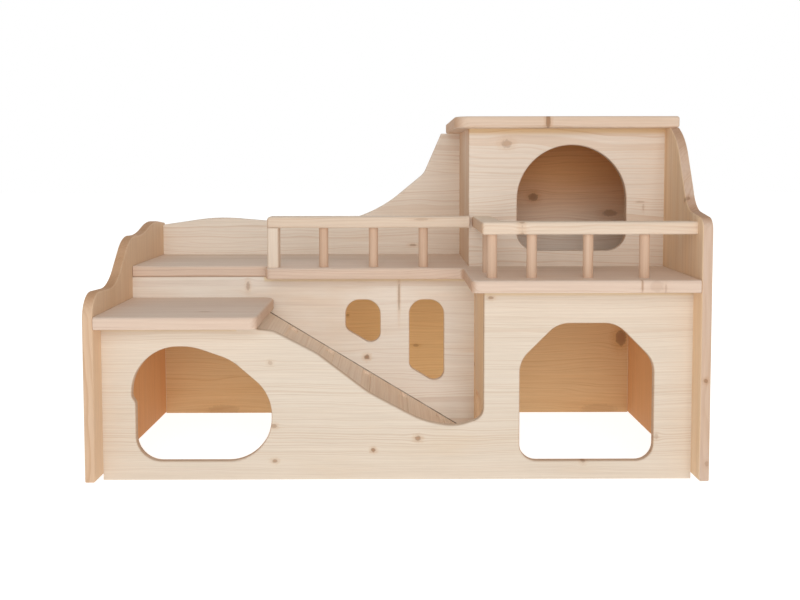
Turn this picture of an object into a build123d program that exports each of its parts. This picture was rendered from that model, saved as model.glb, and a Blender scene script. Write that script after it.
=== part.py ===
from build123d import *
import os
from math import atan, cos, degrees, radians, tan

# A castle for small animals, made of spruce boards. Lengths are in millimetres.
# X runs to the right, Y to the back and Z up. The origin is on the floor, below the middle.

# Overall size and the stock that it is cut from
overall_width = 782.0
overall_depth = 400.0
side_wall = 13.0        # thickness of the side boards
wall = 12.0             # thickness of the other upright boards
plank = 16.0            # thickness of platforms, roof, handrails and post
board_round = 2.2       # rounding on the free edges of upright boards
plank_round = 3.4       # rounding on the free edges of planks
side_lift = 8.0         # the side boards' lower edges rise to this at the front
least_side = 1.0        # straight length that stays between two rounded corners

# Heights
low_platform_top = 216.0
upper_platform_top = 261.0
tower_wall_height = 194.5
handrail_rise = 71.5    # top of the handrails above the upper platform
back_panel_rise = 51.0  # back panel's low stretch above the upper platform

# Distances back from the front edges of the side boards
front_panel_setback = 36.0
bay_setback = 158.0         # front edge of the upper platform between its two wider ends
roof_setback = 154.0
tower_setback = 184.0
middle_wall_setback = 194.0

# Lengths along X, from the inside of the left side board
low_deck_length = 203.5     # low platform
room_length = 213.0         # left room, to the middle wall's lower part
bay_start = 194.0           # left end of the bay in the upper platform
ramp_start = 186.0          # where the ramp's top meets the low platform's underside

# Lengths along X, from the inside of the right side board
right_room_width = 255.2
tower_width = 276.5
wing_width = 286.0          # front wing of the upper platform
roof_overhang = 21.5        # roof beyond the tower's left wall

# Low platform
low_front_corner = 12.0
low_back_corner = 20.0
deck_gap = 0.6              # left free between the platforms and the side boards

# Corners of the upper platform and the roof, seen from above
bay_corner = 8.0
wing_corner = 12.0
roof_left_corner = 24.0
roof_right_corner = 4.0

# Ramp, with routed grooves across it
ramp_foot_height = 16.0     # height of the ramp's top at the divider
ramp_gap = 0.9              # left free between the ramp and the middle wall
groove_count = 5
groove_start = 45.6         # first groove, measured along X from the ramp's head
groove_pitch = 52.0
groove_width = 14.0
groove_depth = 3.2
groove_end = 6.0            # the grooves stop this far from the ramp's edges

# Cut-out of the front panel in front of the ramp
valley_height = 70.0
valley_round = 18.0

# Left entrance, an egg lying on its side
egg_inset = 37.6            # from the inside of the left side board
egg_sill = 24.0
egg_width = 179.0
egg_height = 149.0

# Right entrance, a house front with cut shoulders
gate_inset = 48.8           # from the inside of the right side board
gate_sill = 23.5
gate_width = 172.0
gate_height = 178.7
gate_cut = 48.5             # run and drop of the cut shoulders
gate_low_round = 22.0
gate_high_round = 36.0

# Windows in the middle wall, with their lower ends along the ramp
window_top = 212.0
window_width = 49.4
window_above_ramp = 42.0
small_window_share = 0.391  # left edges, as shares of the ramp's run
tall_window_share = 0.693

# Lower part of the middle wall: open behind the left room
beam_drop = 30.0            # the beam over the opening, below the low platform's underside
room_round = 30.0

# Doorway at the ramp's foot
doorway_width = 110.0
doorway_height = 92.0
doorway_round = 35.0

# Tower door
door_inset = 53.3           # from the inside of the right side board
door_width = 154.4
door_height = 149.4
door_sill = 22.0
door_round = 27.0

# Railings
rail_width = 28.0
bay_rail_inset = 9.0        # handrail behind the bay's edge
post_inset = 2.0            # post in from the bay's left end
wing_rail_inset = 22.0      # handrail behind the wing's front edge
wing_rail_side_inset = 14.6
rail_end_round = 5.0
rail_inner_round = 12.0
dowel_diameter = 13.0
dowel_seat = 8.0            # depth of a dowel's blind hole
dowel_fit = 0.05            # gap around a dowel in its hole
bay_dowel_count = 3
wing_dowel_count = 4
first_wing_pitch = 50.6     # from the corner dowel to the next
wing_pitch = 71.7
return_pitch = 64.0         # from the corner dowel to the one behind it

# Countersunk wood screws
screw_length = 32.0
screw_shank = 3.5
screw_head = 7.0
screw_head_depth = 2.4
screw_slot = 1.0
screw_slot_length = 4.4
screw_slot_depth = 1.2
screw_margin = 20.0         # from the end of a joint to its first screw

# Values that follow from the ones above
left = -overall_width / 2
right = overall_width / 2
front = -overall_depth / 2
rear = overall_depth / 2
inner_left = left + side_wall
inner_right = right - side_wall
back_panel_front = rear - wall
front_panel_front = front + front_panel_setback
front_panel_back = front_panel_front + wall
middle_wall_front = front + middle_wall_setback
middle_wall_back = middle_wall_front + wall
tower_front = front + tower_setback
tower_top = upper_platform_top + tower_wall_height
bay_front = front + bay_setback
roof_front = front + roof_setback
divider_right = inner_right - right_room_width
divider_left = divider_right - wall
tower_left = inner_right - tower_width
wing_left = inner_right - wing_width
roof_left = tower_left - roof_overhang
bay_left = inner_left + bay_start
room_end = inner_left + room_length
ramp_head = inner_left + ramp_start
deck_left = inner_left + deck_gap
deck_right = inner_right - deck_gap
low_underside = low_platform_top - plank
upper_underside = upper_platform_top - plank
handrail_top = upper_platform_top + handrail_rise
handrail_bottom = handrail_top - plank
ramp_run = divider_left - ramp_head
ramp_slope = (low_underside - ramp_foot_height) / ramp_run
ramp_angle = atan(ramp_slope)
ramp_back = middle_wall_front - ramp_gap
bay_rail_front = bay_front + bay_rail_inset
wing_rail_front = front + wing_rail_inset
wing_rail_left = wing_left + wing_rail_side_inset
post_left = bay_left + post_inset


def ramp_height(x):
    return ramp_foot_height + (divider_left - x) * ramp_slope


# Boards are drawn flat and pushed out to their thickness.
def fitted_radii(points, radii):
    """The radii, less only where a side is too short for the arcs at both its ends."""
    reaches = []
    lengths = []
    for i, point in enumerate(points):
        before = Vector(*points[i - 1]) - Vector(*point)
        after = Vector(*points[(i + 1) % len(points)]) - Vector(*point)
        reaches.append(radii[i] / tan(radians(before.get_angle(after) / 2)))
        lengths.append(before.length)
    shares = []
    for i, length in enumerate(lengths):
        taken = reaches[i - 1] + reaches[i]
        shares.append(min(1, (length - least_side) / taken) if taken else 1)
    return [radius * min(shares[i], shares[(i + 1) % len(shares)]) for i, radius in enumerate(radii)]


def outline(*corners):
    """A face with straight sides. A third number at a corner is its radius."""
    points = [corner[:2] for corner in corners]
    radii = [corner[2] if len(corner) > 2 else 0 for corner in corners]
    return make_face(FilletPolyline(*points, radius=fitted_radii(points, radii), close=True))


def rectangle(x_low, y_low, x_high, y_high):
    return outline((x_low, y_low), (x_high, y_low), (x_high, y_high), (x_low, y_high))


def upright_board(face, y_front, thickness=wall):
    """A board that faces the front, drawn in X and Z."""
    back = Plane(origin=(0, y_front + thickness, 0), x_dir=(1, 0, 0), z_dir=(0, -1, 0))
    return extrude(back * face, thickness)


def side_board(face, x_left, thickness=wall):
    """A board that faces sideways, drawn in Y and Z."""
    return extrude(Plane(origin=(x_left, 0, 0), x_dir=(0, 1, 0), z_dir=(1, 0, 0)) * face, thickness)


def flat_board(face, z_bottom, thickness=plank):
    """A level board, drawn in X and Y."""
    return extrude(Pos(0, 0, z_bottom) * face, thickness)


def near(value, *targets):
    return any(abs(value - target) < 0.5 for target in targets)


def ease(board, axis, radius, meets):
    """Rounds the edges of the two broad faces, apart from those that meet other boards."""
    faces = board.faces().sort_by(axis)
    edges = faces[0].edges() + faces[-1].edges()
    return fillet([edge for edge in edges if not meets(edge @ 0.5)], radius)


# Side boards, with a wave cut along the left one
def left_side_face():
    low_crest = low_platform_top + 30.5
    high_crest = upper_platform_top + 43.5
    return outline(
        (front, side_lift),
        (front, low_crest, 33),
        (front + 0.275 * overall_depth, low_crest - 5, 84),
        (front + 0.465 * overall_depth, high_crest, 68),
        (front + 0.64 * overall_depth, high_crest - 3, 220),
        (front + 0.8175 * overall_depth, high_crest + 15, 180),
        (rear, high_crest + 7.5),
        (rear, 0),
    )


def right_side_face():
    shoulder = upper_platform_top + 76.5
    return outline(
        (front, side_lift),
        (front, shoulder, 16),
        (front + 71, shoulder + 9.5, 43),
        (front + 123, tower_top - 17, 80),
        (front + 156, tower_top),
        (rear, tower_top),
        (rear, 0),
    )


# Front panel with its two entrances and the cut-out in front of the ramp
def front_panel_face():
    drop = low_underside - valley_height

    def along(share, depth, radius):
        return (ramp_head + share * ramp_run, low_underside - depth * drop, radius * ramp_run)

    return outline(
        (inner_left, 0),
        (inner_left, low_underside),
        (ramp_head + 0.03 * ramp_run, low_underside),
        along(0.043, 0.04, 0.013),
        along(0.111, 0.058, 0.073),
        along(0.294, 0.281, 0.2),
        along(0.514, 0.674, 0.4),
        along(0.744, 0.96, 0.4),
        along(0.881, 1.013, 0.2),
        (divider_left, valley_height + 10, valley_round),
        (divider_left, upper_underside),
        (inner_right, upper_underside),
        (inner_right, 0),
    )


def egg_face():
    x_low = inner_left + egg_inset
    x_high = x_low + egg_width
    z_high = egg_sill + egg_height
    return outline(
        (x_low + 5, egg_sill, 33),
        (x_high, egg_sill, 56),
        (x_high, z_high - 62, 58),
        (x_high - 52, z_high - 17, 70),
        (x_high - 101, z_high, 76),
        (x_low, z_high, 60),
        (x_low, z_high - 65, 9),
        (x_low + 5, z_high - 72.5, 9),
    )


def gate_face():
    x_high = inner_right - gate_inset
    x_low = x_high - gate_width
    z_high = gate_sill + gate_height
    return outline(
        (x_low, gate_sill, gate_low_round),
        (x_high, gate_sill, gate_low_round),
        (x_high, z_high - gate_cut, gate_high_round),
        (x_high - gate_cut, z_high, gate_high_round),
        (x_low + gate_cut, z_high, gate_high_round),
        (x_low, z_high - gate_cut, gate_high_round),
    )


# Middle wall, with its two windows above the ramp
def window_face(x_low):
    x_high = x_low + window_width
    return outline(
        (x_low, window_top, 20),
        (x_high, window_top, 21),
        (x_high, ramp_height(x_high) + window_above_ramp, 14),
        (x_low, ramp_height(x_low) + window_above_ramp, 12),
    )


def middle_wall_face():
    beam_bottom = low_underside - beam_drop
    return outline(
        (inner_left, beam_bottom),
        (room_end, beam_bottom, room_round),
        (room_end, 0),
        (divider_right, 0),
        (divider_right, upper_underside),
        (inner_left, upper_underside),
    )


# Back panel: low behind the platforms, with a sweep up to the roof
def back_panel_face():
    base = upper_platform_top + back_panel_rise
    rise = tower_top - base
    span = tower_left - inner_left

    def along(share, height, radius):
        return (inner_left + share * span, base + height, radius * span)

    return outline(
        (inner_left, 0),
        (inner_left, base - 3),
        along(0.184, 10, 0.6),
        along(0.444, -0.5, 0.6),
        along(0.678, 0, 0.43),
        along(0.88, 0.556 * rise, 0.06),
        (inner_left + 0.938 * span, tower_top),
        (inner_right, tower_top),
        (inner_right, 0),
    )


def divider_face():
    middle = (front_panel_back + middle_wall_front) / 2
    opening = outline(
        (middle - doorway_width / 2, 0),
        (middle + doorway_width / 2, 0),
        (middle + doorway_width / 2, doorway_height, doorway_round),
        (middle - doorway_width / 2, doorway_height, doorway_round),
    )
    return rectangle(front_panel_back, 0, middle_wall_front, upper_underside) - opening


def door_face():
    x_high = inner_right - door_inset
    x_low = x_high - door_width
    radius = door_width / 2
    bottom = upper_platform_top + door_sill
    spring = bottom + door_height - radius
    lower = outline(
        (x_low, bottom, door_round),
        (x_high, bottom, door_round),
        (x_high, spring),
        (x_low, spring),
    )
    upper_half = rectangle(x_low, spring, x_high, spring + radius)
    return lower + (Pos(x_low + radius, spring) * Circle(radius) & upper_half)


# Planks
def low_platform_face():
    deck_end = inner_left + low_deck_length
    return outline(
        (deck_left, front),
        (deck_end, front, low_front_corner),
        (deck_end, middle_wall_front, low_back_corner),
        (deck_left, middle_wall_front),
    )


def upper_platform_face():
    return outline(
        (deck_left, middle_wall_front),
        (bay_left, middle_wall_front, bay_corner),
        (bay_left, bay_front, bay_corner),
        (wing_left, bay_front, bay_corner),
        (wing_left, front, wing_corner),
        (deck_right, front),
        (deck_right, back_panel_front),
        (deck_left, back_panel_front),
    )


def roof_face():
    return outline(
        (roof_left, roof_front, roof_left_corner),
        (right, roof_front, roof_right_corner),
        (right, rear),
        (roof_left, rear),
    )


def wing_rail_face():
    rail_back = wing_rail_front + rail_width
    rail_right = wing_rail_left + rail_width
    return outline(
        (wing_rail_left, wing_rail_front, rail_end_round),
        (inner_right, wing_rail_front),
        (inner_right, rail_back),
        (rail_right, rail_back, rail_inner_round),
        (rail_right, tower_front),
        (wing_rail_left, tower_front),
    )


def bay_rail_face():
    return outline(
        (post_left, handrail_bottom),
        (tower_left, handrail_bottom),
        (tower_left, handrail_top),
        (post_left, handrail_top, rail_end_round),
    )


# Ramp, cut level under the platform and upright at the divider
def ramp_groove(number):
    x = ramp_head + groove_start + number * groove_pitch
    y = (front_panel_back + ramp_back) / 2
    length = ramp_back - front_panel_back - 2 * groove_end
    slot = Rot(0, 0, 90) * SlotOverall(length, groove_width)
    cutter = extrude(slot, groove_depth, both=True)
    return Pos(x, y, ramp_height(x)) * Rot(0, degrees(ramp_angle), 0) * cutter


def ramp_board():
    drop = wall / cos(ramp_angle)
    face = outline(
        (ramp_head, low_underside),
        (divider_left, ramp_foot_height),
        (divider_left, ramp_foot_height - drop),
        (ramp_head - drop / ramp_slope, low_underside),
    )
    board = upright_board(face, front_panel_back, ramp_back - front_panel_back)
    return board - [ramp_groove(number) for number in range(groove_count)]


# Dowels of the railings
def dowel_places():
    """Where each dowel stands, by name."""
    bay_y = bay_rail_front + rail_width / 2
    wing_y = wing_rail_front + rail_width / 2
    post_x = post_left + plank / 2
    tower_x = tower_left + wall / 2
    spacing = (tower_x - post_x) / (bay_dowel_count + 1)
    places = {}
    for i in range(1, bay_dowel_count + 1):
        places[f"bay_dowel_{i}"] = (post_x + i * spacing, bay_y)
    x = wing_rail_left + rail_width / 2
    places["return_dowel"] = (x, wing_y + return_pitch)
    places["wing_dowel_1"] = (x, wing_y)
    for i in range(wing_dowel_count - 1):
        places[f"wing_dowel_{i + 2}"] = (x + first_wing_pitch + i * wing_pitch, wing_y)
    return places


def dowel(place, gap=0.0):
    low = upper_platform_top - dowel_seat - gap
    high = handrail_bottom + dowel_seat + gap
    return Pos(*place, (low + high) / 2) * Cylinder(dowel_diameter / 2 + gap, high - low)


# Screws. A place is a point on the outer surface and the direction the screw goes in.
def screw_body(place):
    point, direction = place
    head = Pos(0, 0, screw_head_depth / 2) * Cone(screw_head / 2, screw_shank / 2, screw_head_depth)
    shank_length = screw_length - screw_head_depth
    shank = Pos(0, 0, screw_head_depth + shank_length / 2) * Cylinder(screw_shank / 2, shank_length)
    return Plane(origin=point, z_dir=direction) * (head + shank)


def screw(place):
    point, direction = place
    slot = Box(screw_slot_length, screw_slot, 2 * screw_slot_depth)
    cross = Plane(origin=point, z_dir=direction) * (slot + Rot(0, 0, 90) * slot)
    return screw_body(place) - cross


def spread(low, high, count):
    """Evenly spaced places along a joint, with a margin at both ends."""
    first = low + screw_margin
    step = (high - screw_margin - first) / (count - 1)
    return [first + i * step for i in range(count)]


def screw_places():
    """The places of the screws in each group."""
    panel_y = front_panel_front + wall / 2
    middle_y = middle_wall_front + wall / 2
    tower_y = tower_front + wall / 2
    back_y = back_panel_front + wall / 2
    low_z = low_platform_top - plank / 2
    upper_z = upper_platform_top - plank / 2
    tower_x = tower_left + wall / 2
    divider_x = divider_left + wall / 2
    edge_x = inner_right + side_wall / 2
    post_x = post_left + plank / 2
    post_y = bay_rail_front + rail_width / 2
    ramp_core = wall / cos(ramp_angle) / 2
    tower_zs = spread(upper_platform_top, tower_top, 4)[1:-1]
    from_left = [(panel_y, z) for z in spread(side_lift, low_underside, 2)]
    from_left += [(y, low_z) for y in spread(front, middle_wall_front, 3)]
    from_left += [(middle_y, z) for z in spread(low_underside - beam_drop, upper_underside, 2)]
    from_left += [(y, upper_z) for y in spread(middle_wall_back, back_panel_front, 2)]
    from_left += [(back_y, z) for z in spread(side_lift, upper_underside, 3)]
    from_right = [(panel_y, z) for z in spread(side_lift, upper_underside, 2)]
    from_right += [(y, upper_z) for y in spread(front, back_panel_front, 4)]
    from_right += [(tower_y, z) for z in tower_zs]
    from_right += [(back_y, z) for z in spread(side_lift, upper_underside, 3) + tower_zs]
    from_back = [(x, upper_z) for x in spread(inner_left, inner_right, 6)[1:-1]]
    from_back += [(tower_x, z) for z in tower_zs]
    roof_xs = spread(tower_left, inner_right, 4)[1:-1]
    onto_roof = [(x, y) for x in roof_xs for y in (tower_y, back_y)]
    onto_roof += [(tower_x, y) for y in spread(tower_front, back_panel_front, 2)]
    onto_roof += [(edge_x, y) for y in spread(tower_front, back_panel_front, 2)]
    into_front = [(x, ramp_height(x) - ramp_core) for x in spread(ramp_head, divider_left, 5)[1:-1]]
    into_front += [(divider_x, z) for z in spread(doorway_height, upper_underside, 2)]
    return {
        "left_screws": [((left, y, z), (1, 0, 0)) for y, z in from_left],
        "right_screws": [((right, y, z), (-1, 0, 0)) for y, z in from_right],
        "back_screws": [((x, rear, z), (0, -1, 0)) for x, z in from_back],
        "roof_screws": [((x, y, tower_top + plank), (0, 0, -1)) for x, y in onto_roof],
        "inner_screws": [((x, middle_wall_back, z), (0, -1, 0)) for x, z in into_front],
        "post_screw": [((post_x, post_y, upper_underside), (0, 0, 1))],
    }


# The boards before their holes are drilled
pieces = {}
pieces["left_side_panel"] = ease(
    side_board(left_side_face(), left, side_wall), Axis.X, board_round,
    lambda point: near(point.Y, rear))
pieces["right_side_panel"] = ease(
    side_board(right_side_face(), inner_right, side_wall), Axis.X, board_round,
    lambda point: near(point.Y, rear) or near(point.Z, tower_top))
pieces["front_panel"] = ease(
    upright_board(front_panel_face() - egg_face() - gate_face(), front_panel_front),
    Axis.Y, board_round,
    lambda point: near(point.X, inner_left, inner_right)
    or near(point.Z, 0, low_underside, upper_underside))
window_shares = (small_window_share, tall_window_share)
windows = [window_face(ramp_head + share * ramp_run) for share in window_shares]
pieces["middle_wall"] = ease(
    upright_board(middle_wall_face() - windows, middle_wall_front),
    Axis.Y, board_round,
    lambda point: near(point.X, inner_left, divider_right) or near(point.Z, 0, upper_underside))
pieces["back_panel"] = ease(
    upright_board(back_panel_face(), back_panel_front), Axis.Y, board_round,
    lambda point: near(point.X, inner_left, inner_right) or near(point.Z, 0, tower_top))
pieces["divider_wall"] = ease(
    side_board(divider_face(), divider_left), Axis.X, board_round,
    lambda point: near(point.Y, front_panel_back, middle_wall_front)
    or near(point.Z, 0, upper_underside))
pieces["low_platform"] = ease(
    flat_board(low_platform_face(), low_underside), Axis.Z, plank_round,
    lambda point: near(point.X, deck_left) or near(point.Y, middle_wall_front))
pieces["upper_platform"] = ease(
    flat_board(upper_platform_face(), upper_underside), Axis.Z, plank_round,
    lambda point: near(point.X, deck_left, deck_right) or near(point.Y, back_panel_front))
pieces["ramp_board"] = ramp_board()
tower_face = rectangle(tower_left, upper_platform_top, inner_right, tower_top)
pieces["tower_front_wall"] = ease(
    upright_board(tower_face - door_face(), tower_front), Axis.Y, board_round,
    lambda point: near(point.X, inner_right) or near(point.Z, upper_platform_top, tower_top))
tower_side = rectangle(tower_front + wall, upper_platform_top, back_panel_front, tower_top)
pieces["tower_left_wall"] = side_board(tower_side, tower_left)
pieces["roof_board"] = ease(
    flat_board(roof_face(), tower_top), Axis.Z, plank_round,
    lambda point: False)
pieces["bay_handrail"] = ease(
    upright_board(bay_rail_face(), bay_rail_front, rail_width), Axis.Y, plank_round,
    lambda point: near(point.X, tower_left))
post_face = rectangle(post_left, bay_rail_front, post_left + plank, bay_rail_front + rail_width)
post = flat_board(post_face, upper_platform_top, handrail_bottom - upper_platform_top)
pieces["rail_post"] = fillet(post.edges().filter_by(Axis.Z), plank_round)
pieces["wing_handrail"] = ease(
    flat_board(wing_rail_face(), handrail_bottom), Axis.Z, plank_round,
    lambda point: near(point.X, inner_right) or near(point.Y, tower_front))

# Dowels, and the holes that they stand in
for name, place in dowel_places().items():
    pieces[name] = dowel(place)
    rail = "bay_handrail" if name.startswith("bay") else "wing_handrail"
    for board in ("upper_platform", rail):
        pieces[board] -= dowel(place, dowel_fit)

# Screws, and the boards that each group holds together
held_boards = {
    "left_screws": ["left_side_panel", "front_panel", "middle_wall", "low_platform",
                    "upper_platform", "back_panel"],
    "right_screws": ["right_side_panel", "front_panel", "tower_front_wall", "upper_platform",
                     "back_panel"],
    "back_screws": ["back_panel", "upper_platform", "tower_left_wall"],
    "roof_screws": ["roof_board", "tower_front_wall", "tower_left_wall", "right_side_panel",
                    "back_panel"],
    "inner_screws": ["middle_wall", "ramp_board", "divider_wall"],
    "post_screw": ["upper_platform", "rail_post"],
}
for group, places in screw_places().items():
    bodies = [screw_body(place) for place in places]
    for board in held_boards[group]:
        pieces[board] -= bodies
    pieces[group] = Compound([screw(place).solid() for place in places])

os.makedirs("parts", exist_ok=True)
for name, piece in pieces.items():
    export_step(piece, f"parts/{name}.step")
print(len(pieces), "pieces written")
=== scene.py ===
import math
import bmesh
import bpy
from mathutils import Matrix, Vector


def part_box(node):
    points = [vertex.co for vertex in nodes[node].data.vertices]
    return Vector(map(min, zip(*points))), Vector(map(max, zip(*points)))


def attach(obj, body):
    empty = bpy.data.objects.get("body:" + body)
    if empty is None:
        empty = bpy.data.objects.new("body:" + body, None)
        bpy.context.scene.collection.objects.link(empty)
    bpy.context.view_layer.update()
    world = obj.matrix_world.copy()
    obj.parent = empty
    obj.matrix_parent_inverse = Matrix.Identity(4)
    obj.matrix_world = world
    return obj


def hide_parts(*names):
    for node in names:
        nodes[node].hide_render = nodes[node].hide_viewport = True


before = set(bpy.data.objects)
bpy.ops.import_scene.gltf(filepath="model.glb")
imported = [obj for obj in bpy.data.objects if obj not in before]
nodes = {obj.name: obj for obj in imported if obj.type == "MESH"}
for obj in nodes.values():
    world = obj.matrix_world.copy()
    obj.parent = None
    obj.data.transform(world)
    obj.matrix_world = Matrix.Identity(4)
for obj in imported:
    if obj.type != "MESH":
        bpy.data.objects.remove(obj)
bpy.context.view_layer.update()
print("frame loaded with", len(nodes), "nodes")


# small helpers for node trees

def colour(red, green, blue):  # screen colour 0-255 to the linear value that a shader takes
    def linear(level):
        share = level / 255
        return share / 12.92 if share <= 0.04045 else ((share + 0.055) / 1.055) ** 2.4
    return (linear(red), linear(green), linear(blue), 1.0)


def put(tree, kind, wires=None, **settings):  # a new node, with its inputs linked or set
    node = tree.nodes.new(kind)
    for name, value in settings.items():
        setattr(node, name, value)
    for socket, value in (wires or {}).items():
        if isinstance(value, bpy.types.NodeSocket):
            tree.links.new(value, node.inputs[socket])
        else:
            node.inputs[socket].default_value = value
    return node


def calc(tree, operation, first, second=0.0, third=0.0):
    return put(tree, "ShaderNodeMath", {0: first, 1: second, 2: third}, operation=operation).outputs[0]


def times(tree, first, second):
    return calc(tree, "MULTIPLY", first, second)


def plus(tree, first, second):
    return calc(tree, "ADD", first, second)


def minus(tree, first, second):
    return calc(tree, "SUBTRACT", first, second)


def squares(tree, first, second):  # the sum of two squares
    return plus(tree, times(tree, first, first), times(tree, second, second))


def swing(tree, value, reach):  # turns 0 to 1 into a swing about zero, reach from end to end
    return times(tree, minus(tree, value, 0.5), reach)


def ease(tree, value, low, high, start=0.0, end=1.0):  # soft step from low to high
    wires = {0: value, 1: low, 2: high, 3: start, 4: end}
    return put(tree, "ShaderNodeMapRange", wires, interpolation_type="SMOOTHSTEP").outputs[0]


def fade(tree, value, low, high):  # soft step down, from 1 at low to 0 at high
    return ease(tree, value, low, high, 1.0, 0.0)


def blendColour(tree, share, first, second, kind="MIX"):
    wires = {0: share, 6: first, 7: second}
    return put(tree, "ShaderNodeMix", wires, data_type="RGBA", blend_type=kind).outputs[2]


def stain(tree, share, tint, coat):  # the tint darkened by a coat, as clear stain does it
    return blendColour(tree, share, tint, colour(*coat), "MULTIPLY")


def join(tree, first=0.0, second=0.0, third=0.0):
    return put(tree, "ShaderNodeCombineXYZ", {0: first, 1: second, 2: third}).outputs[0]


def split(tree, place):
    return put(tree, "ShaderNodeSeparateXYZ", {0: place}).outputs


def stretch(tree, place, scale):  # the place scaled along, across and into the board
    return put(tree, "ShaderNodeVectorMath", {0: place, 1: scale}, operation="MULTIPLY").outputs[0]


def slide(tree, place, shift):
    return put(tree, "ShaderNodeVectorMath", {0: place, 1: shift}, operation="ADD").outputs[0]


def turnLevel(tree, place, angle):  # turned about Y, as a sloping board is laid level
    return put(tree, "ShaderNodeVectorRotate", {"Vector": place, "Angle": angle},
               rotation_type="Y_AXIS").outputs[0]


def cloud(tree, place, detail=2.0, rough=0.5):
    wires = {"Vector": place, "Scale": 1.0, "Detail": detail, "Roughness": rough}
    return put(tree, "ShaderNodeTexNoise", wires).outputs[0]


def chanceOf(tree, first, second, third):  # a fixed random draw for three numbers
    return put(tree, "ShaderNodeTexWhiteNoise", {0: join(tree, first, second, third)},
               noise_dimensions="3D").outputs


def newMaterial(name):
    material = bpy.data.materials.new(name)
    material.use_nodes = True
    material.node_tree.nodes.clear()
    return material, material.node_tree


def millimetres(tree):  # the place on the object, in millimetres
    place = put(tree, "ShaderNodeTexCoord").outputs["Object"]
    return put(tree, "ShaderNodeVectorMath", {0: place, 3: 1000.0}, operation="SCALE").outputs[0]


def seenDirectly(tree):  # 1 for rays from the camera, from gloss and through glass
    path = put(tree, "ShaderNodeLightPath").outputs
    shiny = calc(tree, "MAXIMUM", path["Is Glossy Ray"], path["Is Transmission Ray"])
    return calc(tree, "MAXIMUM", path["Is Camera Ray"], shiny)


def addObject(name, data):
    item = bpy.data.objects.new(name, data)
    bpy.context.scene.collection.objects.link(item)
    return item


def openGroup(name, inputs, outputs, kind="ShaderNodeTree"):
    tree = bpy.data.node_groups.new(name, kind)
    for label, shape, value in inputs:
        socket = tree.interface.new_socket(label, in_out="INPUT", socket_type=shape)
        if value is not None:
            socket.default_value = value
    for label, shape in outputs:
        tree.interface.new_socket(label, in_out="OUTPUT", socket_type=shape)
    entry = tree.nodes.new("NodeGroupInput")
    leave = tree.nodes.new("NodeGroupOutput")
    return tree, entry.outputs, leave.inputs


number = "NodeSocketFloat"
vector = "NodeSocketVector"


# growth rings of glued spruce staves, worked out in millimetres along, across and into the board

grainForm = {  # clouds are scaled per millimetre
    "slow": (0.0045, 0.016, 0.016), "slowReach": 4.0,      # wander along the board
    "ripple": (0.03, 0.05, 0.05), "rippleReach": 1.6,      # small waves in the lines, mm
    "patch": (0.006, 0.02, 0.02), "patchReach": 1.8,       # long soft patches of tone
    "streak": (0.008, 0.34, 0.34), "fibre": (0.05, 2.3, 2.3),
    "staveTone": 0.9,                                      # how far staves differ in tone
    "pithLeast": 0.35,                                     # least depth of the tree's middle, in shares
    "widthScale": 0.09, "widthReach": 3.0,                 # rings are not all as wide
    "lateStart": 0.38, "lateFull": 0.9, "lateEnd": 0.92,   # late wood within one ring
    "yearPower": 2.2, "yearReach": 0.85, "yearLeast": 0.22,
    "rowShift": 0.37, "seedShift": 7.3, "staveShift": 5.7, "staveDraw": 3.1,
}


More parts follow.
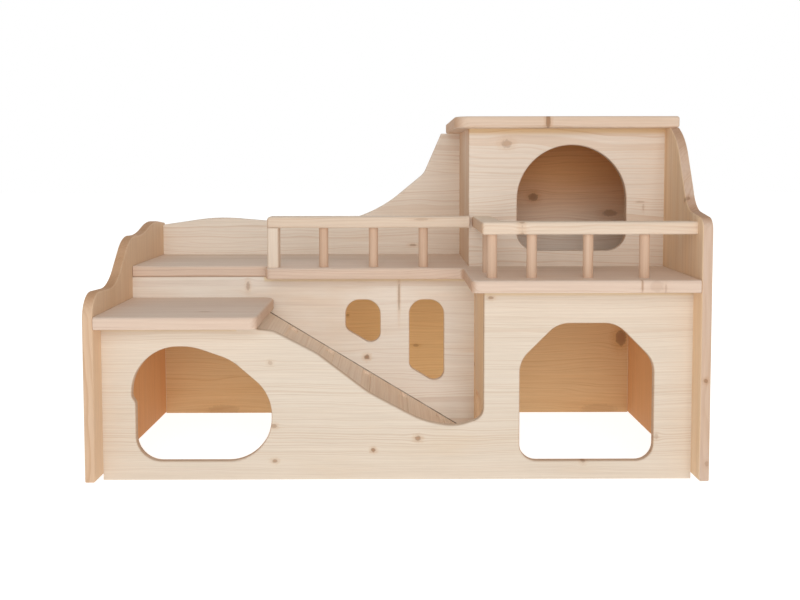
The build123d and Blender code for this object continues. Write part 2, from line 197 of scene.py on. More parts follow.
def makeGrainGroup():
    form = grainForm
    tree, entry, leave = openGroup(
        "spruceGrain",
        [("Place", vector, None), ("Stave", number, 90.0), ("Ring", number, 2.6), ("Pith", number, 60.0),
         ("Offset", number, 1.0), ("Wander", number, 5.0), ("Seed", number, 0.0)],
        [("Late", number), ("Tone", number), ("Streak", number), ("Fibre", number)])
    place, stave, ring, pith, offset, wander, seed = [entry[i] for i in range(7)]
    parts = split(tree, place)
    row = plus(tree, calc(tree, "DIVIDE", parts[1], stave), times(tree, seed, form["rowShift"]))
    index = calc(tree, "FLOOR", row)
    draw = chanceOf(tree, index, seed, form["staveDraw"])
    chance = put(tree, "ShaderNodeSeparateColor", {0: draw["Color"]}).outputs
    inStave = swing(tree, minus(tree, row, index), stave)
    # the grain wanders slowly along the board, and differently in each stave
    shift = join(tree, times(tree, seed, form["seedShift"]), times(tree, index, form["staveShift"]), seed)
    slow = cloud(tree, slide(tree, stretch(tree, place, form["slow"]), shift), 2.0, 0.45)
    drift = swing(tree, slow, times(tree, wander, form["slowReach"]))
    ripple = swing(tree, cloud(tree, stretch(tree, place, form["ripple"]), 1.0), form["rippleReach"])
    # the tree's middle lies offset staves to one side of the stave, so that its rings run almost straight
    aside = minus(tree, chance[0], 0.5)
    pithAcross = times(tree, plus(tree, aside, times(tree, calc(tree, "SIGN", aside), offset)), stave)
    pithDeep = times(tree, plus(tree, chance[1], form["pithLeast"]), pith)
    sideways = plus(tree, minus(tree, inStave, pithAcross), plus(tree, drift, ripple))
    reach = calc(tree, "SQRT", squares(tree, sideways, plus(tree, parts[2], pithDeep)))
    wide = put(tree, "ShaderNodeTexNoise", {"W": times(tree, reach, form["widthScale"]), "Scale": 1.0,
                                            "Detail": 1.0}, noise_dimensions="1D").outputs[0]
    year = plus(tree, calc(tree, "DIVIDE", reach, ring), times(tree, wide, form["widthReach"]))
    season = calc(tree, "FRACT", year)
    late = times(tree, ease(tree, season, form["lateStart"], form["lateFull"]),
                 fade(tree, season, form["lateEnd"], 1.0))
    yearLuck = chanceOf(tree, calc(tree, "FLOOR", year), seed, index)["Value"]
    contrast = calc(tree, "MULTIPLY_ADD", calc(tree, "POWER", yearLuck, form["yearPower"]),
                    form["yearReach"], form["yearLeast"])
    tree.links.new(times(tree, late, contrast), leave[0])
    # tone: every stave has its own, with long soft patches
    patch = cloud(tree, slide(tree, stretch(tree, place, form["patch"]), shift), 3.0, 0.55)
    tone = plus(tree, swing(tree, chance[2], form["staveTone"]), swing(tree, patch, form["patchReach"]))
    tree.links.new(tone, leave[1])
    tree.links.new(cloud(tree, stretch(tree, place, form["streak"]), 3.0, 0.6), leave[2])
    tree.links.new(cloud(tree, stretch(tree, place, form["fibre"]), 2.0, 0.65), leave[3])
    return tree


# a knot: the rings flow round it, its heart is darker, and a thin rim of bark shows

knotForm = {  # steps are shares of the knot's own size
    "wobble": (0.35, 0.35, 0.22), "wobbleReach": 0.8, "wobbleLeast": 0.6,
    "heart": 0.7, "heartEnd": 1.05, "rimFull": 1.0, "rimEnd": 1.4, "halo": 0.8, "haloEnd": 3.4,
    "pullLength": 3.6, "pullWidth": 2.4, "pull": 0.72,
    "longest": 3.0,  # a knot longer than this many widths is a streak, and the rings run through it
}


def makeKnotGroup():
    form = knotForm
    tree, entry, leave = openGroup(
        "spruceKnot",
        [("Place", vector, None), ("Heart", number, 0.0), ("Rim", number, 0.0), ("Halo", number, 0.0),
         ("Along", number, 0.0), ("Across", number, 0.0), ("Length", number, 3.0), ("Width", number, 3.0),
         ("Depth", number, 1.0), ("Pull", number, 0.7), ("Deep", number, 0.0), ("Thick", number, 900.0)],
        [("Place", vector), ("Heart", number), ("Rim", number), ("Halo", number)])
    place, heart, rim, halo, along, across = [entry[i] for i in range(6)]
    length, width, depth, pull, deep, thick = [entry[i] for i in range(6, 12)]
    parts = split(tree, place)
    aside = minus(tree, parts[0], along)
    above = minus(tree, parts[1], across)
    inside = calc(tree, "DIVIDE", minus(tree, parts[2], deep), thick)
    far = squares(tree, calc(tree, "DIVIDE", aside, length), calc(tree, "DIVIDE", above, width))
    far = calc(tree, "SQRT", plus(tree, far, times(tree, inside, inside)))
    wobble = calc(tree, "MULTIPLY_ADD", cloud(tree, stretch(tree, place, form["wobble"]), 2.0),
                  form["wobbleReach"], form["wobbleLeast"])
    near = times(tree, far, wobble)
    core = times(tree, fade(tree, near, form["heart"], form["heartEnd"]), depth)
    ring = times(tree, ease(tree, near, form["heart"], form["rimFull"]),
                 fade(tree, near, form["heartEnd"], form["rimEnd"]))
    edge = times(tree, ring, depth)
    glow = times(tree, fade(tree, near, form["halo"], form["haloEnd"]), depth)
    # the rings are pushed apart beside the knot
    spread = squares(tree, calc(tree, "DIVIDE", aside, times(tree, length, form["pullLength"])),
                     calc(tree, "DIVIDE", above, times(tree, width, form["pullWidth"])))
    swell = times(tree, calc(tree, "EXPONENT", times(tree, spread, -1.0)), pull)
    moved = minus(tree, parts[1], times(tree, above, swell))
    tree.links.new(join(tree, parts[0], moved, parts[2]), leave[0])
    tree.links.new(calc(tree, "MAXIMUM", heart, core), leave[1])
    tree.links.new(calc(tree, "MAXIMUM", rim, edge), leave[2])
    tree.links.new(calc(tree, "MAXIMUM", halo, glow), leave[3])
    return tree


grainGroup = makeGrainGroup()
knotGroup = makeKnotGroup()
print("grain and knot groups made")


# what all the spruce shares; a board's own dictionary may name any of these too

spruce = {
    "early": (239, 223, 205), "late": (216, 184, 154), "lateShare": 0.5,
    "warm": (229, 201, 172), "pale": (242, 228, 213), "toneShare": 0.3,
    "streakShare": 0.22, "fibreShare": 0.14, "greenSwing": 1.12, "blueSwing": 1.25,
    "knotHeart": (158, 116, 84), "knotRim": (112, 80, 60), "knotHalo": (226, 196, 162),
    "heartShare": 0.8, "rimShare": 0.5, "haloShare": 0.5,
    "edgeTint": (238, 220, 204), "edgeShare": 0.3, "endTint": (222, 190, 158), "endShare": 0.5,
    "stave": 92.0, "ring": 3.2, "pith": 60.0, "offset": 0.7, "wander": 4.0, "seed": 1.0, "turn": 0.0,
    "roughness": 0.61, "lateSmooth": 0.12, "fibreRough": 0.16, "endRough": 0.12,
    "gloss": 0.22, "refraction": 1.45,
    "bump": 0.3, "bumpHeight": 0.00025, "lateRelief": 0.55, "fibreRelief": 0.5, "rimRelief": 0.8,
    "knots": [], "paintedShade": [], "paintedShadowLine": None,
}
axisIndex = {"X": 0, "Y": 1, "Z": 2}
paintedShadeEdge = 1.5  # half of the width over which a box of painted warm shade ends, in millimetres


def boardMiddle(board, angle):  # where the middle of the board's thickness lies, in millimetres
    low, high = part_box(board["node"])
    middle = (low + high) * 500.0
    middle.rotate(Matrix.Rotation(angle, 3, "Y"))
    return middle[axisIndex[board["face"]]]


def paintedShadeShare(tree, place, low, high, share, soft):  # the share of painted warm shade inside its box, 0 outside
    parts = split(tree, place)
    for axis in range(3):
        start = low[axis] - paintedShadeEdge
        climb = soft if axis == 2 else 2 * paintedShadeEdge  # upwards the painted shade may come in slowly
        share = times(tree, share, ease(tree, parts[axis], start, start + climb))
        share = times(tree, share, fade(tree, parts[axis], high[axis] - paintedShadeEdge, high[axis] + paintedShadeEdge))
    return share


def paintedShadowLineShare(tree, place, paintedShadowLine):  # a painted shadow line where another board meets this one
    alongX, upZ = paintedShadowLine["end"][0] - paintedShadowLine["start"][0], paintedShadowLine["end"][1] - paintedShadowLine["start"][1]
    reach = math.hypot(alongX, upZ)
    parts = split(tree, place)
    fromStart = [minus(tree, parts[i], paintedShadowLine["start"][i]) for i in range(2)]
    over = plus(tree, times(tree, fromStart[0], -upZ / reach), times(tree, fromStart[1], alongX / reach))
    down = plus(tree, times(tree, fromStart[0], alongX / reach), times(tree, fromStart[1], upZ / reach))
    patchy = calc(tree, "MULTIPLY_ADD", cloud(tree, stretch(tree, place, paintedShadowLine["cloud"]), 3.0),
                  paintedShadowLine["cloudReach"], paintedShadowLine["cloudLeast"])
    line = times(tree, ease(tree, over, -paintedShadowLine["under"], 1.0 - paintedShadowLine["under"]),
                 fade(tree, over, paintedShadowLine["width"] * 0.7, paintedShadowLine["width"]))
    ends = times(tree, ease(tree, down, 0.0, paintedShadowLine["ends"]), fade(tree, down, reach - paintedShadowLine["ends"], reach))
    share = times(tree, times(tree, line, ends), times(tree, patchy, paintedShadowLine["share"]))
    return calc(tree, "MINIMUM", share, paintedShadowLine["most"])


def addKnots(tree, place, knots):  # the place with its rings pushed apart, and the knots' shares
    heart, rim, halo = 0.0, 0.0, 0.0
    for knot in knots:
        along, over, length, width, depth = knot[:5]
        long = max(length, width) >= knotForm["longest"] * min(length, width)
        wires = {"Place": place, "Heart": heart, "Rim": rim, "Halo": halo, "Along": along, "Across": over,
                 "Length": length, "Width": width, "Depth": depth, "Pull": 0.0 if long else knotForm["pull"]}
        if len(knot) > 5:  # a small knot that lies inside the board's thickness
            wires["Deep"], wires["Thick"] = knot[5:]
        group = put(tree, "ShaderNodeGroup", None, node_tree=knotGroup)
        for label, value in wires.items():
            if isinstance(value, bpy.types.NodeSocket):
                tree.links.new(value, group.inputs[label])
            else:
                group.inputs[label].default_value = value
        place, heart, rim, halo = [group.outputs[i] for i in range(4)]
    return place, heart, rim, halo


def tintWood(tree, look, rings):  # early wood, then tone, late wood, streaks and fibres
    late, tone, streak, fibre = rings
    strength = look["toneShare"] * 2
    tint = blendColour(tree, times(tree, ease(tree, tone, 0.0, 1.0), strength),
                       colour(*look["early"]), colour(*look["warm"]))
    tint = blendColour(tree, times(tree, ease(tree, tone, 0.0, -1.0), strength), tint, colour(*look["pale"]))
    tint = blendColour(tree, times(tree, late, look["lateShare"]), tint, colour(*look["late"]))
    shade = plus(tree, swing(tree, streak, look["streakShare"]), swing(tree, fibre, look["fibreShare"]))
    green = calc(tree, "MULTIPLY_ADD", shade, look["greenSwing"], 1.0)
    blue = calc(tree, "MULTIPLY_ADD", shade, look["blueSwing"], 1.0)
    grey = put(tree, "ShaderNodeCombineColor", {0: plus(tree, shade, 1.0), 1: green, 2: blue}).outputs[0]
    return blendColour(tree, 1.0, tint, grey, "MULTIPLY")


def tintKnots(tree, look, tint, heart, rim, halo):
    tint = stain(tree, times(tree, halo, look["haloShare"]), tint, look["knotHalo"])
    tint = blendColour(tree, times(tree, heart, look["heartShare"]), tint, colour(*look["knotHeart"]))
    return blendColour(tree, times(tree, rim, look["rimShare"]), tint, colour(*look["knotRim"]))


def spruceMaterial(name, board):
    look = dict(spruce, **board)
    material, tree = newMaterial(name)
    place = millimetres(tree)
    # boxes of painted warm shade, worked out on the place before it is turned
    paintedShade = [(paintedShadeShare(tree, place, *shadeBox[:4]), shadeBox[4]) for shadeBox in look["paintedShade"]]
    facing = put(tree, "ShaderNodeNewGeometry").outputs["Normal"]
    angle = math.radians(look["turn"])
    if look["turn"]:
        place, facing = turnLevel(tree, place, angle), turnLevel(tree, facing, angle)
    grain, face = axisIndex[look["grain"]], axisIndex[look["face"]]
    parts = split(tree, place)
    deep = minus(tree, parts[face], boardMiddle(board, angle))
    place = join(tree, parts[grain], parts[3 - grain - face], deep)
    paintedShadowLine = paintedShadowLineShare(tree, place, look["paintedShadowLine"]) if look["paintedShadowLine"] else None
    place, heart, rim, halo = addKnots(tree, place, look["knots"])
    group = put(tree, "ShaderNodeGroup", None, node_tree=grainGroup)
    tree.links.new(place, group.inputs["Place"])
    for label in ("Stave", "Ring", "Pith", "Offset", "Wander", "Seed"):
        group.inputs[label].default_value = look[label.lower()]
    rings = [group.outputs[i] for i in range(4)]
    tint = tintWood(tree, look, rings)
    # sanded edges and end grain take a warmer tone
    normals = split(tree, facing)
    rounded = ease(tree, calc(tree, "ABSOLUTE", normals[face]), 0.95, 0.3)
    tint = stain(tree, times(tree, rounded, look["edgeShare"]), tint, look["edgeTint"])
    ends = ease(tree, calc(tree, "ABSOLUTE", normals[grain]), 0.35, 0.95)
    tint = stain(tree, times(tree, ends, look["endShare"]), tint, look["endTint"])
    for share, shadeTint in paintedShade:  # painted warm shade inside the rooms and under the decks and roof
        tint = stain(tree, share, tint, shadeTint)
    if look["knots"]:
        tint = tintKnots(tree, look, tint, heart, rim, halo)
    # the painted shadow line in the groove goes on last
    if paintedShadowLine:
        tint = blendColour(tree, paintedShadowLine, tint, colour(*look["paintedShadowLine"]["tint"]))
    # finish: late wood is a little smoother and stands proud, fibres are a little rougher
    late, fibre = rings[0], rings[3]
    rough = plus(tree, times(tree, late, -look["lateSmooth"]),
                 calc(tree, "MULTIPLY_ADD", fibre, look["fibreRough"], look["roughness"]))
    rough = plus(tree, rough, times(tree, ends, look["endRough"]))
    height = plus(tree, times(tree, late, look["lateRelief"]), times(tree, fibre, look["fibreRelief"]))
    if look["knots"]:
        height = minus(tree, height, times(tree, rim, look["rimRelief"]))
    relief = put(tree, "ShaderNodeBump",
                 {"Strength": look["bump"], "Distance": look["bumpHeight"], "Height": height}).outputs[0]
    skin = put(tree, "ShaderNodeBsdfPrincipled", {"Base Color": tint, "Roughness": rough, "Normal": relief})
    skin.inputs["IOR"].default_value = look["refraction"]
    skin.inputs["Specular IOR Level"].default_value = look["gloss"]
    put(tree, "ShaderNodeOutputMaterial", {0: skin.outputs[0]})
    return material


def dressBoard(board):
    material = spruceMaterial(board["node"] + "_spruce", board)
    for slot in nodes[board["node"]].material_slots:
        slot.material = material


# upright boards; knots are (along, across, length, width, depth of colour) in millimetres, and a small
# one may also have its place across the board's thickness and its reach there; boxes of painted warm
# shade are given as (low corner, high corner, share, height over which the painted shade comes in, tint)

frontPanel = {
    "node": "front_panel", "grain": "X", "face": "Y", "seed": 3.0, "stave": 104.0, "ring": 3.6,
    "early": (231, 217, 200), "late": (206, 177, 149), "pale": (236, 224, 208), "warm": (226, 202, 172),
    "knots": [(-162.6, 151.8, 2.6, 2.2, 0.35), (-158.3, 70.0, 3.2, 2.2, 0.6), (-157.4, 24.4, 2.8, 2.0, 0.7),
              (239.2, 25.5, 2.6, 3.4, 0.6), (-31.0, 38.4, 2.4, 2.2, 0.95), (26.6, 53.4, 3.2, 2.6, 0.8),
              (119.5, 235.0, 3.0, 1.6, 0.7), (333.0, 55.5, 2.2, 3.0, 0.3)],
    "paintedShade": [((-380, -210, 192), (-205, -140, 204), 0.85, 6, (250, 236, 204)),  # painted warm shade below the decks
              ((108, -210, 237), (380, -140, 249), 0.85, 6, (250, 236, 204))],
}
middleWall = {
    "node": "middle_wall", "grain": "X", "face": "Y", "seed": 7.0, "stave": 96.0, "ring": 3.8, "wander": 7.0,
    "early": (246, 238, 227), "late": (220, 199, 182), "pale": (248, 241, 231), "offset": 0.3,
    "paintedShadowLine": {  # the painted shadow line in the groove along the ramp
        "start": (-192.0, 200.0), "end": (110.8, 16.0), "width": 1.3, "under": 6.0, "ends": 3.0,
        "tint": (112, 84, 62), "share": 0.85, "most": 0.95,
        "cloud": (0.06, 0.06, 0.06), "cloudReach": 1.2, "cloudLeast": 0.25,
    },
    "knots": [(-43.3, 129.1, 3.0, 2.8, 0.95), (2.9, 217.0, 1.3, 17.0, 0.6), (-213.2, 232.1, 2.2, 5.0, 0.5)],
    # painted warm shade under the upper deck
    "paintedShade": [((-190, -60, 238), (110, 40, 249), 0.8, 5, (252, 240, 206))],
}
backPanel = {
    "node": "back_panel", "grain": "X", "face": "Y", "seed": 12.0, "stave": 110.0, "ring": 4.0, "wander": 8.0,
    "early": (248, 237, 223), "late": (222, 194, 170), "pale": (250, 241, 229), "warm": (242, 218, 190),
    "offset": 0.3,
    # painted warm shade inside the three rooms, and in the tower deepening towards its roof
    "paintedShade": [((-378, 180, -10), (-150, 190, 245), 0.9, 3, (240, 208, 158)),
              ((-150, 180, -10), (105, 190, 245), 0.9, 3, (255, 221, 161)),
              ((105, 180, -10), (378, 190, 245), 0.9, 3, (236, 205, 157)),
              ((103, 180, 261), (378, 190, 456), 1.0, 150, (255, 200, 146))],
    "knots": [(220.6, 353.1, 6.0, 5.0, 0.85), (345.0, 327.0, 9.0, 4.5, 0.55), (366.1, 122.6, 7.0, 10.0, 0.9),
              # the two long marks low down are darker blotches near the floor, in the left and right rooms
              (331.0, 5.0, 24.0, 7.0, 0.22), (-284.0, 5.0, 20.0, 7.0, 0.25),
              (26.3, 275.5, 5.0, 1.4, 0.6), (31.0, 111.0, 4.0, 1.8, 0.5), (-80.0, 161.0, 2.0, 1.8, 0.5)],
}
towerFront = {
    "node": "tower_front_wall", "grain": "X", "face": "Y", "seed": 21.0, "stave": 88.0, "ring": 4.0,
    "wander": 9.0, "early": (238, 224, 209),
    "knots": [(155.4, 433.9, 6.0, 4.5, 0.45), (344.0, 352.0, 5.0, 1.0, 0.4), (349.0, 344.0, 1.2, 4.0, 0.3)],
    # painted shadow of the roof along the top of the tower's front
    "paintedShade": [((100, -70, 446), (380, -10, 460), 0.9, 8, (250, 230, 192))],
}
leftSide = {
    "node": "left_side_panel", "grain": "Z", "face": "X", "seed": 31.0, "stave": 98.0, "ring": 3.4,
    "early": (238, 207, 175), "late": (210, 167, 127), "lateShare": 0.6, "warm": (228, 190, 150),
    "edgeTint": (230, 222, 220), "edgeShare": 0.5,
    # painted warm shade on the inner face
    "paintedShade": [((-380, -152, -10), (-376, 188, 200), 0.85, 3, (248, 207, 158))],
    "knots": [(150.0, 96.0, 4.0, 5.0, 0.6), (246.0, 60.0, 5.0, 6.0, 0.7)],
}
rightSide = {
    "node": "right_side_panel", "grain": "Z", "face": "X", "seed": 38.0, "stave": 102.0, "ring": 3.4,
    "early": (243, 212, 176), "late": (214, 172, 130), "lateShare": 0.6, "warm": (234, 196, 154),
    "edgeTint": (226, 224, 236), "edgeShare": 0.95,
    # painted warm shade on the inner face
    "paintedShade": [((376, -152, -10), (380, 188, 245), 0.8, 3, (246, 208, 164))],
    "knots": [(358.0, -119.8, 3.0, 3.0, 0.8, -3.0, 4.0), (364.3, -132.0, 1.6, 3.0, 0.7, 2.0, 2.5),
              (135.0, -200.0, 2.2, 4.0, 0.8, 0.0, 2.0), (30.0, -200.0, 2.6, 4.0, 0.4, 3.0, 2.0)],
}
dividerWall = {
    "node": "divider_wall", "grain": "Z", "face": "X", "seed": 44.0, "stave": 80.0, "ring": 2.2,
    "early": (248, 216, 178), "late": (216, 174, 128), "lateShare": 0.6, "warm": (240, 204, 162),
    "knots": [(119.8, -12.0, 2.6, 3.0, 0.7)],
}
towerLeft = {
    "node": "tower_left_wall", "grain": "Z", "face": "X", "seed": 52.0, "stave": 84.0, "ring": 2.8,
    "early": (226, 194, 164), "late": (196, 154, 118),
}
for board in (frontPanel, middleWall, backPanel, towerFront, leftSide, rightSide, dividerWall, towerLeft):
    dressBoard(board)
print("upright boards dressed")


# decks, roof and ramp

lowPlatform = {
    "node": "low_platform", "grain": "X", "face": "Z", "seed": 61.0, "stave": 100.0, "ring": 3.2,
    "early": (234, 214, 198), "late": (208, 176, 154), "endShare": 0.25,
    "knots": [(-248.0, -150.0, 6.0, 2.6, 0.35)],
}
upperPlatform = {
    "node": "upper_platform", "grain": "X", "face": "Z", "seed": 66.0, "stave": 95.0, "ring": 3.2,
    "early": (234, 214, 198), "late": (208, 176, 154),
    "knots": [(304.0, -200.0, 1.0, 7.0, 0.6, 2.0, 7.0), (322.0, -200.0, 7.0, 5.0, 0.2, 1.0, 6.0),
              (333.0, -200.0, 1.2, 4.0, 0.3, -2.0, 5.0)],
}
roofBoard = {
    "node": "roof_board", "grain": "X", "face": "Z", "seed": 72.0, "stave": 90.0, "ring": 3.0,
    "early": (234, 212, 192),
    "knots": [(209.0, -46.0, 2.6, 6.0, 0.95, 2.0, 9.0), (300.0, 80.0, 8.0, 6.0, 0.7)],
}
rampBoard = {
    "node": "ramp_board", "grain": "Y", "face": "Z", "turn": -31.3, "seed": 80.0, "stave": 62.0, "ring": 3.4,
    "early": (247, 231, 213), "late": (222, 194, 170), "lateShare": 0.5, "edgeShare": 0.1, "endShare": 0.1,
}
for board in (lowPlatform, upperPlatform, roofBoard, rampBoard):
    dressBoard(board)
print("decks, roof and ramp dressed")


# railings; the dowels are of a closer, pinker wood

bayRail = {
    "node": "bay_handrail", "grain": "X", "face": "Z", "seed": 91.0, "stave": 60.0, "ring": 2.0,
    "knots": [(34.0, -33.0, 9.0, 2.0, 0.35, 4.0, 1.2)],
}
railPost = {"node": "rail_post", "grain": "Z", "face": "Y", "seed": 95.0, "stave": 60.0, "ring": 2.0}
wingRail = {
    "node": "wing_handrail", "grain": "X", "face": "Z", "seed": 99.0, "stave": 60.0, "ring": 2.0,
    "knots": [(157.0, -176.0, 3.0, 1.6, 0.6)],
}
dowels = {
    "grain": "Z", "face": "Y", "stave": 40.0, "ring": 1.4, "edgeShare": 0.0, "endShare": 0.3,
    "early": (221, 190, 165), "late": (196, 158, 132), "warm": (214, 180, 152), "pale": (228, 202, 180),
}
for board in (bayRail, railPost, wingRail):
    dressBoard(board)
for index, name in enumerate(sorted(n for n in nodes if "dowel" in n)):
    dressBoard(dict(dowels, node=name, seed=110.0 + 3.7 * index))
print("railings dressed")


# countersunk screws: one tree sets a screw on every point of a group, sizes in metres

screws = {
    "Head Width": 0.00696, "Head Depth": 0.00238, "Shank Width": 0.00348, "Length": 0.0319,
    "Slot Width": 0.0010, "Slot Length": 0.0044, "Slot Depth": 0.0012, "Facets": 32, "Spin": 1.5, "Seed": 5,
}
steelLook = {
    "steel": (202, 204, 206), "shadow": (150, 153, 158), "roughness": 0.34, "bump": 0.2, "bumpHeight": 0.0001,
    "blotch": (0.9, 0.9, 0.9), "scratch": (9.0, 1.2, 5.0), "blotchShare": 0.22, "scratchShare": 0.14,
}
screwGroups = {  # the node, the axis that its screws lie along, the side of their heads and the turn from +Z
    "left_screws": (0, -1, (0, math.pi / 2, 0)), "right_screws": (0, 1, (0, -math.pi / 2, 0)),
    "back_screws": (1, 1, (math.pi / 2, 0, 0)), "roof_screws": (2, 1, (math.pi, 0, 0)),
    "inner_screws": (1, 1, (math.pi / 2, 0, 0)), "post_screw": (2, -1, (0, 0, 0)),
}


def makeScrewTree():
    shape = "NodeSocketGeometry"
    tree, entry, leave = openGroup(
        "screwGroup",
        [("Points", shape, None), ("Head Width", number, 0.007), ("Head Depth", number, 0.0024),
         ("Shank Width", number, 0.0035), ("Length", number, 0.032), ("Slot Width", number, 0.001),
         ("Slot Length", number, 0.0044), ("Slot Depth", number, 0.0012), ("Spin", number, 1.5),
         ("Facets", "NodeSocketInt", 32), ("Seed", "NodeSocketInt", 5), ("Turn", vector, None),
         ("Material", "NodeSocketMaterial", None)],
        [("Screws", shape)], "GeometryNodeTree")
    points, headWidth, headDepth, shankWidth, length = [entry[i] for i in range(5)]
    slotWidth, slotLength, slotDepth, spin, facets, seed, turn, steel = [entry[i] for i in range(5, 13)]
    headRadius, shankRadius = times(tree, headWidth, 0.5), times(tree, shankWidth, 0.5)
    head = put(tree, "GeometryNodeMeshCone", {"Vertices": facets, "Radius Top": shankRadius,
                                              "Radius Bottom": headRadius, "Depth": headDepth})
    buried = times(tree, headDepth, 0.7)  # the shank starts inside the head, a hair slimmer than its neck
    shankLength = minus(tree, length, buried)
    shank = put(tree, "GeometryNodeMeshCylinder",
                {"Vertices": facets, "Depth": shankLength, "Radius": times(tree, shankRadius, 0.999)})
    lower = join(tree, 0.0, 0.0, calc(tree, "MULTIPLY_ADD", shankLength, 0.5, buried))
    shank = put(tree, "GeometryNodeTransform", {"Geometry": shank.outputs["Mesh"], "Translation": lower})
    body = put(tree, "GeometryNodeMeshBoolean", None, operation="UNION", solver="EXACT")
    tree.links.new(head.outputs["Mesh"], body.inputs["Mesh 2"])
    tree.links.new(shank.outputs[0], body.inputs["Mesh 2"])
    cut = put(tree, "GeometryNodeMeshBoolean", {"Mesh 1": body.outputs["Mesh"]},
              operation="DIFFERENCE", solver="EXACT")
    slotHeight = times(tree, slotDepth, 2.0)
    for along, over in ((slotLength, slotWidth), (slotWidth, slotLength)):
        bar = put(tree, "GeometryNodeMeshCube", {"Size": join(tree, along, over, slotHeight)})
        tree.links.new(bar.outputs["Mesh"], cut.inputs["Mesh 2"])
    aim = put(tree, "FunctionNodeEulerToRotation", {0: turn}).outputs[0]
    row = put(tree, "GeometryNodeInstanceOnPoints",
              {"Points": points, "Instance": cut.outputs["Mesh"], "Rotation": aim}).outputs[0]
    luck = put(tree, "FunctionNodeRandomValue", {2: 0.0, 3: spin, "Seed": seed}, data_type="FLOAT").outputs[1]
    twist = put(tree, "FunctionNodeEulerToRotation", {0: join(tree, 0.0, 0.0, luck)}).outputs[0]
    row = put(tree, "GeometryNodeRotateInstances",
              {"Instances": row, "Rotation": twist, "Local Space": True}).outputs[0]
    whole = put(tree, "GeometryNodeRealizeInstances", {"Geometry": row}).outputs[0]
    dressed = put(tree, "GeometryNodeSetMaterial", {"Geometry": whole, "Material": steel}).outputs[0]
    tree.links.new(dressed, leave[0])
    return tree


def steelMaterial():
    look = steelLook
    material, tree = newMaterial("zincSteel")
    place = millimetres(tree)
    blotch = cloud(tree, stretch(tree, place, look["blotch"]), 3.0, 0.6)
    scratch = cloud(tree, stretch(tree, place, look["scratch"]), 2.0, 0.6)
    tint = blendColour(tree, ease(tree, blotch, 0.35, 0.7), colour(*look["steel"]), colour(*look["shadow"]))
    middle = (look["blotchShare"] + look["scratchShare"]) / 2
    rough = calc(tree, "MULTIPLY_ADD", scratch, look["scratchShare"], look["roughness"] - middle)
    rough = calc(tree, "MULTIPLY_ADD", blotch, look["blotchShare"], rough)
    relief = put(tree, "ShaderNodeBump",
                 {"Strength": look["bump"], "Distance": look["bumpHeight"], "Height": scratch}).outputs[0]
    skin = put(tree, "ShaderNodeBsdfPrincipled", {"Base Color": tint, "Roughness": rough, "Normal": relief})
    skin.inputs["Metallic"].default_value = 1.0
    put(tree, "ShaderNodeOutputMaterial", {0: skin.outputs[0]})
    return material


def headPlaces(node, axis, side):  # the middle of each screw's head, read from the group's own solids
    shape = bmesh.new()
    shape.from_mesh(nodes[node].data)
    bmesh.ops.remove_doubles(shape, verts=shape.verts, dist=0.000001)
    waiting = set(shape.verts)
    places = []
    while waiting:
        island, edge = set(), [waiting.pop()]
        while edge:
            vert = edge.pop()
            island.add(vert)
            for link in vert.link_edges:
                other = link.other_vert(vert)
                if other in waiting:
                    waiting.discard(other)
                    edge.append(other)
        outer = max(side * vert.co[axis] for vert in island)
        low = [min(vert.co[i] for vert in island) for i in range(3)]
        high = [max(vert.co[i] for vert in island) for i in range(3)]
        place = [(low[i] + high[i]) / 2 for i in range(3)]
        place[axis] = side * outer
        places.append(tuple(place))
    shape.free()
    return sorted(places)


def makeScrews(node, tree, steel):
    axis, side, turn = screwGroups[node]
    points = bpy.data.meshes.new(node + "_points")
    points.from_pydata(headPlaces(node, axis, side), [], [])
    holder = addObject(node + "_points", points)
    modifier = holder.modifiers.new("screws", "NODES")
    modifier.node_group = tree
    sockets = {item.name: item.identifier for item in tree.interface.items_tree if item.in_out == "INPUT"}
    for label, value in dict(screws, Turn=turn, Material=steel).items():
        modifier[sockets[label]] = value
    bpy.context.view_layer.update()
    solved = holder.evaluated_get(bpy.context.evaluated_depsgraph_get())
    mesh = bpy.data.meshes.new_from_object(solved)
    mesh.name = node + "_heads"
    piece = addObject(node + "_crosshead", mesh)
    bpy.data.objects.remove(holder, do_unlink=True)
    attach(piece, "root")
    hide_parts(node)
    return len(mesh.polygons)


screwTree = makeScrewTree()
zincSteel = steelMaterial()
for group in screwGroups:
    print(group, "made with", makeScrews(group, screwTree, zincSteel), "faces")


# studio: pale floor, soft lights low in front and white behind

studio = {
    "floorColour": (200, 200, 200), "floorLight": 0.52, "floorGlow": 0.36, "floorReach": 14.0,
    "skyLight": 0.40, "skyTint": (255, 249, 242), "aim": (0.0, 0.0, 0.22),
    "frontWatts": 23.5, "frontSize": 1.7, "frontPlace": (0.1, -2.4, 0.85),
    "rearWatts": 16.0, "rearSize": 1.8, "rearPlace": (0.0, 2.6, 0.75),
}


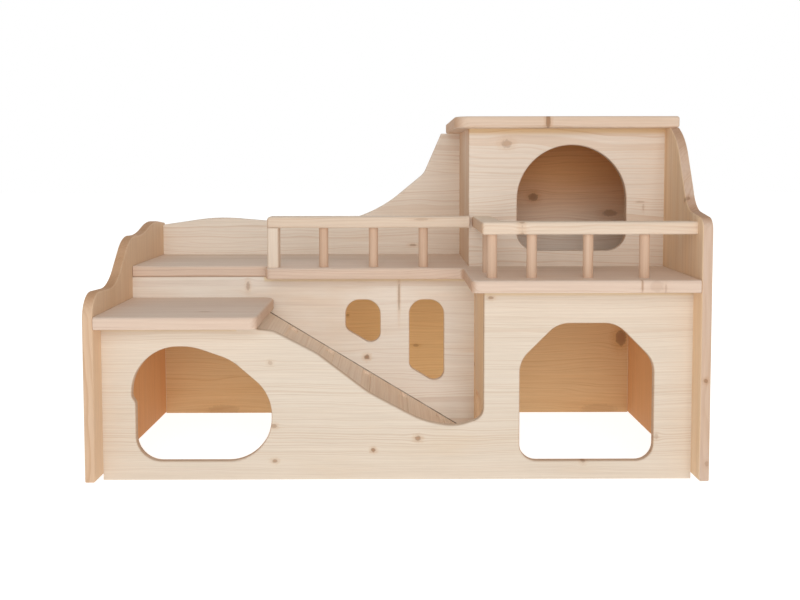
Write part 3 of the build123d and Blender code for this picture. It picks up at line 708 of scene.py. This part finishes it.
def makeFloor():
    mesh = bpy.data.meshes.new("floor")
    far = studio["floorReach"]
    mesh.from_pydata([(-far, -far, 0), (far, -far, 0), (far, far, 0), (-far, far, 0)], [], [(0, 1, 2, 3)])
    floor = addObject("floor", mesh)
    material, tree = newMaterial("lightTable")
    light = calc(tree, "MULTIPLY_ADD", seenDirectly(tree), studio["floorGlow"], studio["floorLight"])
    glow = put(tree, "ShaderNodeEmission", {1: light})
    paint = put(tree, "ShaderNodeBsdfDiffuse", {0: colour(*studio["floorColour"])})
    both = put(tree, "ShaderNodeAddShader", {0: paint.outputs[0], 1: glow.outputs[0]})
    put(tree, "ShaderNodeOutputMaterial", {0: both.outputs[0]})
    mesh.materials.append(material)


def makeWorld():
    world = bpy.data.worlds.new("studioWhite")
    bpy.context.scene.world = world
    world.use_nodes = True
    tree = world.node_tree
    tree.nodes.clear()
    seen = seenDirectly(tree)
    strength = calc(tree, "MULTIPLY_ADD", seen, 1.0 - studio["skyLight"], studio["skyLight"])
    tint = blendColour(tree, seen, colour(*studio["skyTint"]), (1, 1, 1, 1))
    sky = put(tree, "ShaderNodeBackground", {0: tint, 1: strength})
    put(tree, "ShaderNodeOutputWorld", {0: sky.outputs[0]})


def addLamp(side):
    lamp = bpy.data.lights.new(side + "Softbox", "AREA")
    lamp.shape = "SQUARE"
    lamp.size = studio[side + "Size"]
    lamp.energy = studio[side + "Watts"]
    holder = addObject(side + "Softbox", lamp)
    holder.location = studio[side + "Place"]
    towards = Vector(studio["aim"]) - Vector(studio[side + "Place"])
    holder.rotation_euler = towards.to_track_quat("-Z", "Y").to_euler()
    holder.visible_camera = False


makeFloor()
makeWorld()
addLamp("front")
addLamp("rear")
print("studio lit")


# camera: the photograph's own eye, found from the boards' corners

eye = {
    "place": (-0.00124, -1.43029, 0.40083), "pitch": 3.568, "yaw": 0.229, "roll": -0.074,
    "sensor": 36.0, "lens": 45.0, "shift": -0.0875, "farthest": 60.0,
}


def makeCamera():
    camera = bpy.data.cameras.new("photoCamera")
    camera.sensor_width = eye["sensor"]
    camera.lens = eye["lens"]
    camera.shift_y = eye["shift"]
    camera.clip_end = eye["farthest"]
    holder = addObject("photoCamera", camera)
    holder.location = eye["place"]
    tilt = Matrix.Rotation(math.radians(90 - eye["pitch"]), 3, "X")
    holder.rotation_euler = (Matrix.Rotation(math.radians(-eye["yaw"]), 3, "Z") @ tilt
                             @ Matrix.Rotation(math.radians(eye["roll"]), 3, "Z")).to_euler()
    bpy.context.scene.camera = holder


makeCamera()
bpy.context.scene.view_settings.view_transform = "Standard"
print("camera placed")
